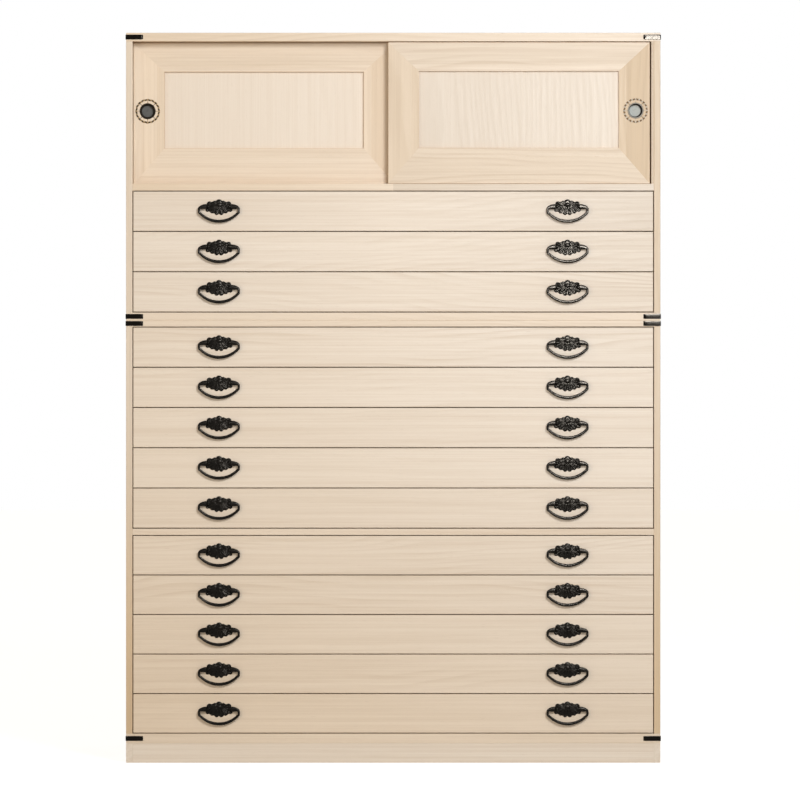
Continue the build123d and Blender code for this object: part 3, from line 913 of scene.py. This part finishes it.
def pull_ring():
    """Scalloped ring on a rounded section: its outer edge is R(t) = 22.0 + 1.05 |cos 8t|^0.7 and
    its inner one r(t) = 19.8 + 0.35 cos 16t.
    """
    angle, around = np.meshgrid(full_turn(192), full_turn(14), indexing="ij")
    inner = 19.8 + 0.35 * np.cos(2 * SCALLOPS * angle)
    outer = 22.0 + 1.05 * np.abs(np.cos(SCALLOPS * angle)) ** 0.7
    a, b = rounded_box_curve(around, 1.0, 1.0, 2.8)
    radius = (inner + outer) / 2 + (outer - inner) / 2 * a
    height = 0.5 + 0.5 * b
    return Shape.hoop(np.stack([radius * np.cos(angle), radius * np.sin(angle), height], axis=-1))


def pull_spokes():
    """Short bridges from cup to ring, waisted: w(s) = 0.55 - 0.2 sin(pi s)."""
    share = np.linspace(0, 1, 9)[:, None]
    a, b = rounded_box_curve(full_turn(12), 1.0, 1.0, 2.6)
    radius = 14.6 + 6.6 * share + 0 * a
    width = (0.55 - 0.2 * np.sin(np.pi * share)) * a
    height = 0.48 + 0.44 * b + 0 * share
    bar = Shape.grid(np.stack([radius, width, height], axis=-1))
    spokes = []
    for turn in full_turn(SCALLOPS):
        cos, sin = math.cos(turn), math.sin(turn)
        spokes.append(bar.seen_from((0, 0, 0), (cos, sin, 0), (-sin, cos, 0), (0, 0, 1)))
    return joined(spokes)


# The pull sits on the slope inside the door's stile, which falls by so much over its width.
STILE_FALL_MM = 5.0
SLOPE_WIDTH_MM = 42.0
PULL_ON_SLOPE_MM = 24.5
PULL_INSET_MM = 26.5
PULL_RISE_MM = 137.0

# Shift of the lit floor, then cup floor, wall, rim, ring and beads of each pull. Both pulls are
# one metal: the right one's pale floor, rim, ring and beads are a painted reflection of the light
# and its shift a painted shadow at the right of its cup, where the left one is the metal unlit.
PULL_TONES_AND_PAINTED_LIGHT = {
    "left": (
        0.0,
        (0.088, 0.088, 0.084, 1),
        (0.020, 0.016, 0.012, 1),
        (0.024, 0.018, 0.012, 1),
        (0.070, 0.045, 0.022, 1),
        (0.420, 0.300, 0.150, 1),
    ),
    "right": (
        1.6 * MM,
        (0.510, 0.545, 0.520, 1),
        (0.030, 0.027, 0.024, 1),
        (0.380, 0.360, 0.320, 1),
        (0.230, 0.150, 0.085, 1),
        (0.620, 0.570, 0.480, 1),
    ),
}
pull_shape = joined([pull_cup(), pull_ring(), pull_spokes()])
slope = math.atan2(STILE_FALL_MM, SLOPE_WIDTH_MM)
for side, way in SIDES.items():
    low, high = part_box(f"{side}_door")
    edge = low.x if side == "left" else high.x
    x_mm = edge / MM - way * PULL_INSET_MM
    y_mm = low.y / MM + PULL_ON_SLOPE_MM * math.tan(slope)
    z_mm = low.z / MM + TONGUE_MM + PULL_RISE_MM
    out = (-way * math.sin(slope), -math.cos(slope), 0.0)
    up = (0.0, 0.0, 1.0)
    level = tuple(np.cross(up, out))
    placed = pull_shape.seen_from((x_mm, y_mm, z_mm), level, up, out).outward()
    node = f"{side}_door_pull"
    # Each pull gets its own lit or unlit copy of the metal, with painted light in its tones.
    metal = pull_metal_with_painted_light(f"{side}_pull_metal_with_painted_light", x_mm * MM, z_mm * MM, *PULL_TONES_AND_PAINTED_LIGHT[side])
    placed.piece(node + "_metal", f"{side}_door", metal, "dark_metal", node)


# ---------------------------------------------------------------- corner fittings
CORNER_MM = 500.0
STRAP_HALF_THICK_MM = 0.5
STRAP_HALF_HEIGHT_MM = 4.5
STRAP_BEND_MM = 1.2
STRAP_REACH_MM = 31.8
NAIL_IN_MM = 27.5
NAIL_RADIUS_MM = 1.5


def strap():
    """Flat bar bent round a front corner: a rounded section carried along an L in plan."""
    turn = np.linspace(0, np.pi / 2, 9)
    middle_x = CORNER_MM + STRAP_HALF_THICK_MM
    bend_x = middle_x - STRAP_BEND_MM * (1 - np.sin(turn))
    bend_y = STRAP_BEND_MM - STRAP_HALF_THICK_MM - STRAP_BEND_MM * np.cos(turn)
    bend = np.column_stack([bend_x, bend_y])
    front_x = np.linspace(CORNER_MM - STRAP_REACH_MM, 498.9, 10)
    front = np.column_stack([front_x, np.full(10, -STRAP_HALF_THICK_MM)])
    side = np.column_stack([np.full(10, middle_x), np.linspace(1.1, STRAP_REACH_MM, 10)])
    path = np.concatenate([front, bend, side])
    ahead = np.gradient(path, axis=0)
    ahead /= np.linalg.norm(ahead, axis=1)[:, None]
    across = np.stack([ahead[:, 1], -ahead[:, 0]], axis=-1)
    a, b = rounded_box_curve(full_turn(24), STRAP_HALF_THICK_MM, STRAP_HALF_HEIGHT_MM, 6.0)
    end = np.ones((len(path), 1))
    end[[0, -1]] = 0.93
    x = path[:, :1] + across[:, :1] * a
    y = path[:, 1:] + across[:, 1:] * a
    return Shape.grid(np.stack([x, y, b * end], axis=-1))


def nail():
    """Domed nail head: h(r) = 1 + 0.6 sqrt(1 - (r/1.5)^2) over a rim at 0.6."""
    share = np.linspace(0.01, 1, 8)
    rise = 1.0 + 0.6 * np.sqrt(np.clip(1 - share**2, 0, 1))
    dome = np.column_stack([NAIL_RADIUS_MM * share, rise])
    return turned([*dome.tolist(), (NAIL_RADIUS_MM, 0.6), (0.02, 0.6)], 20)


def fitting():
    """Strap of the right-hand corner with its two nails."""
    head = nail()
    at_front = (CORNER_MM - NAIL_IN_MM, 0, 0)
    front = head.seen_from(at_front, (1, 0, 0), (0, 0, 1), (0, -1, 0)).outward()
    at_side = (CORNER_MM, NAIL_IN_MM, 0)
    side = head.seen_from(at_side, (0, 1, 0), (0, 0, 1), (1, 0, 0)).outward()
    return joined([strap(), front, side])


STRAP_LEVELS_MM = (1358.0, 835.25, 822.0, 45.5)
right_fitting = fitting()
corners = joined(
    [
        shape.moved(0, FRONT_Y / MM, level)
        for level in STRAP_LEVELS_MM
        for shape in (right_fitting.mirrored(), right_fitting)
    ]
)
corners.piece("corner_straps_and_nails", "case", STRAP_STEEL, "black_steel", "corner_fittings")


# ---------------------------------------------------------------- camera, light and background
PICTURE_WIDTH = 1.497
CAMERA_DISTANCE = 9.0
CAMERA_X = 0.0127
CAMERA_Z = 0.6788
SENSOR_MM = 36.0
FLOOR_REACH = 20.0
FLOOR_DROP = 0.5 * MM
KEY_COLOUR = (0.955, 0.960, 0.975)
FILL_COLOUR = (1.0, 0.84, 0.64)
SHEEN_COLOUR = (1.0, 0.98, 0.95)
WORLD_COLOUR = (1.0, 0.90, 0.78, 1.0)
WORLD_LEVEL = 0.304


def studio():
    """Level camera in front, a soft light high on the right, even fill and a pale floor.

    The sheen lamp is seen in glossy reflections only.
    """
    eye = bpy.data.cameras.new("camera")
    eye.sensor_width = SENSOR_MM
    eye.lens = SENSOR_MM * (CAMERA_DISTANCE + FRONT_Y) / PICTURE_WIDTH
    eye.clip_end = 60.0
    camera = link(bpy.data.objects.new("camera", eye))
    camera.location = (CAMERA_X, -CAMERA_DISTANCE, CAMERA_Z)
    camera.rotation_euler = (math.pi / 2, 0.0, 0.0)
    bpy.context.scene.camera = camera

    softbox("key", (1.25, -3.8, 2.5), (0.0, 0.0, 0.75), (0.9, 0.9), 89.0, KEY_COLOUR)
    fill = softbox("fill", (-2.3, -3.4, 1.0), (0.0, 0.0, 0.7), (1.6, 1.6), 22.8, FILL_COLOUR)
    fill.visible_glossy = False
    sheen = softbox("sheen", (0.56, -3.8, 1.41), (0.45, 0.0, 1.25), (0.4, 0.7), 26.0, SHEEN_COLOUR)
    sheen.data.spread = math.radians(50)
    sheen.visible_diffuse = False

    quarters = ((-1, -1), (1, -1), (1, 1), (-1, 1))
    corners = [(x * FLOOR_REACH, y * FLOOR_REACH, 0) for x, y in quarters]
    mesh = bpy.data.meshes.new("floor")
    mesh.from_pydata(corners, [], [(0, 1, 2, 3)])
    mesh.materials.append(floor_paper())
    floor = link(bpy.data.objects.new("floor", mesh))
    floor.location = (0.0, 0.0, -FLOOR_DROP)
    world_light(WORLD_COLOUR, WORLD_LEVEL)


def softbox(name, place, target, size, power, colour):
    """Rectangular lamp of a width and height at a place, turned to face a target."""
    lamp = bpy.data.lights.new(name, "AREA")
    lamp.color = colour
    lamp.shape = "RECTANGLE"
    lamp.size, lamp.size_y = size
    lamp.energy = power
    holder = link(bpy.data.objects.new(name, lamp))
    holder.location = place
    away = np.array(place) - np.array(target)
    flat = math.hypot(away[0], away[1])
    holder.rotation_euler = (math.atan2(flat, away[2]), 0.0, math.atan2(away[0], -away[1]))
    return holder


def background_rays(look):
    """1 where a surface is seen by the camera or in a mirror or through glass, 0 in plain light."""
    seen = look.part("ShaderNodeLightPath", output="Is Camera Ray")
    for output in ("Is Glossy Ray", "Is Transmission Ray"):
        seen = seen.maths("MAXIMUM", look.part("ShaderNodeLightPath", output=output))
    return seen


def floor_paper():
    """Pale paper. Its own glow for the camera lifts the lit part to white and leaves the shadow."""
    look = Look("pale_paper")
    look.set(
        Base_Color=(0.62, 0.62, 0.61, 1.0),
        Roughness=0.9,
        Specular_IOR_Level=0.1,
        Emission_Color=look.mixed(BLACK, WHITE, background_rays(look)),
        Emission_Strength=0.80,
    )
    return look.material


def world_light(colour, level):
    """Even fill, with plain white where the camera looks past the floor."""
    world = bpy.data.worlds.new("studio")
    bpy.context.scene.world = world
    world.use_nodes = True
    look = Look.at(world.node_tree)
    look.tree.nodes.clear()
    white = look.part("ShaderNodeBackground", values={"Color": WHITE, "Strength": 1.0})
    fill = look.part("ShaderNodeBackground", values={"Color": colour, "Strength": level})
    mix = look.part("ShaderNodeMixShader", values={0: background_rays(look), 1: fill, 2: white})
    output = look.tree.nodes.new("ShaderNodeOutputWorld")
    put(look.tree, output.inputs["Surface"], mix)


studio()
bpy.context.scene.view_settings.view_transform = "Standard"
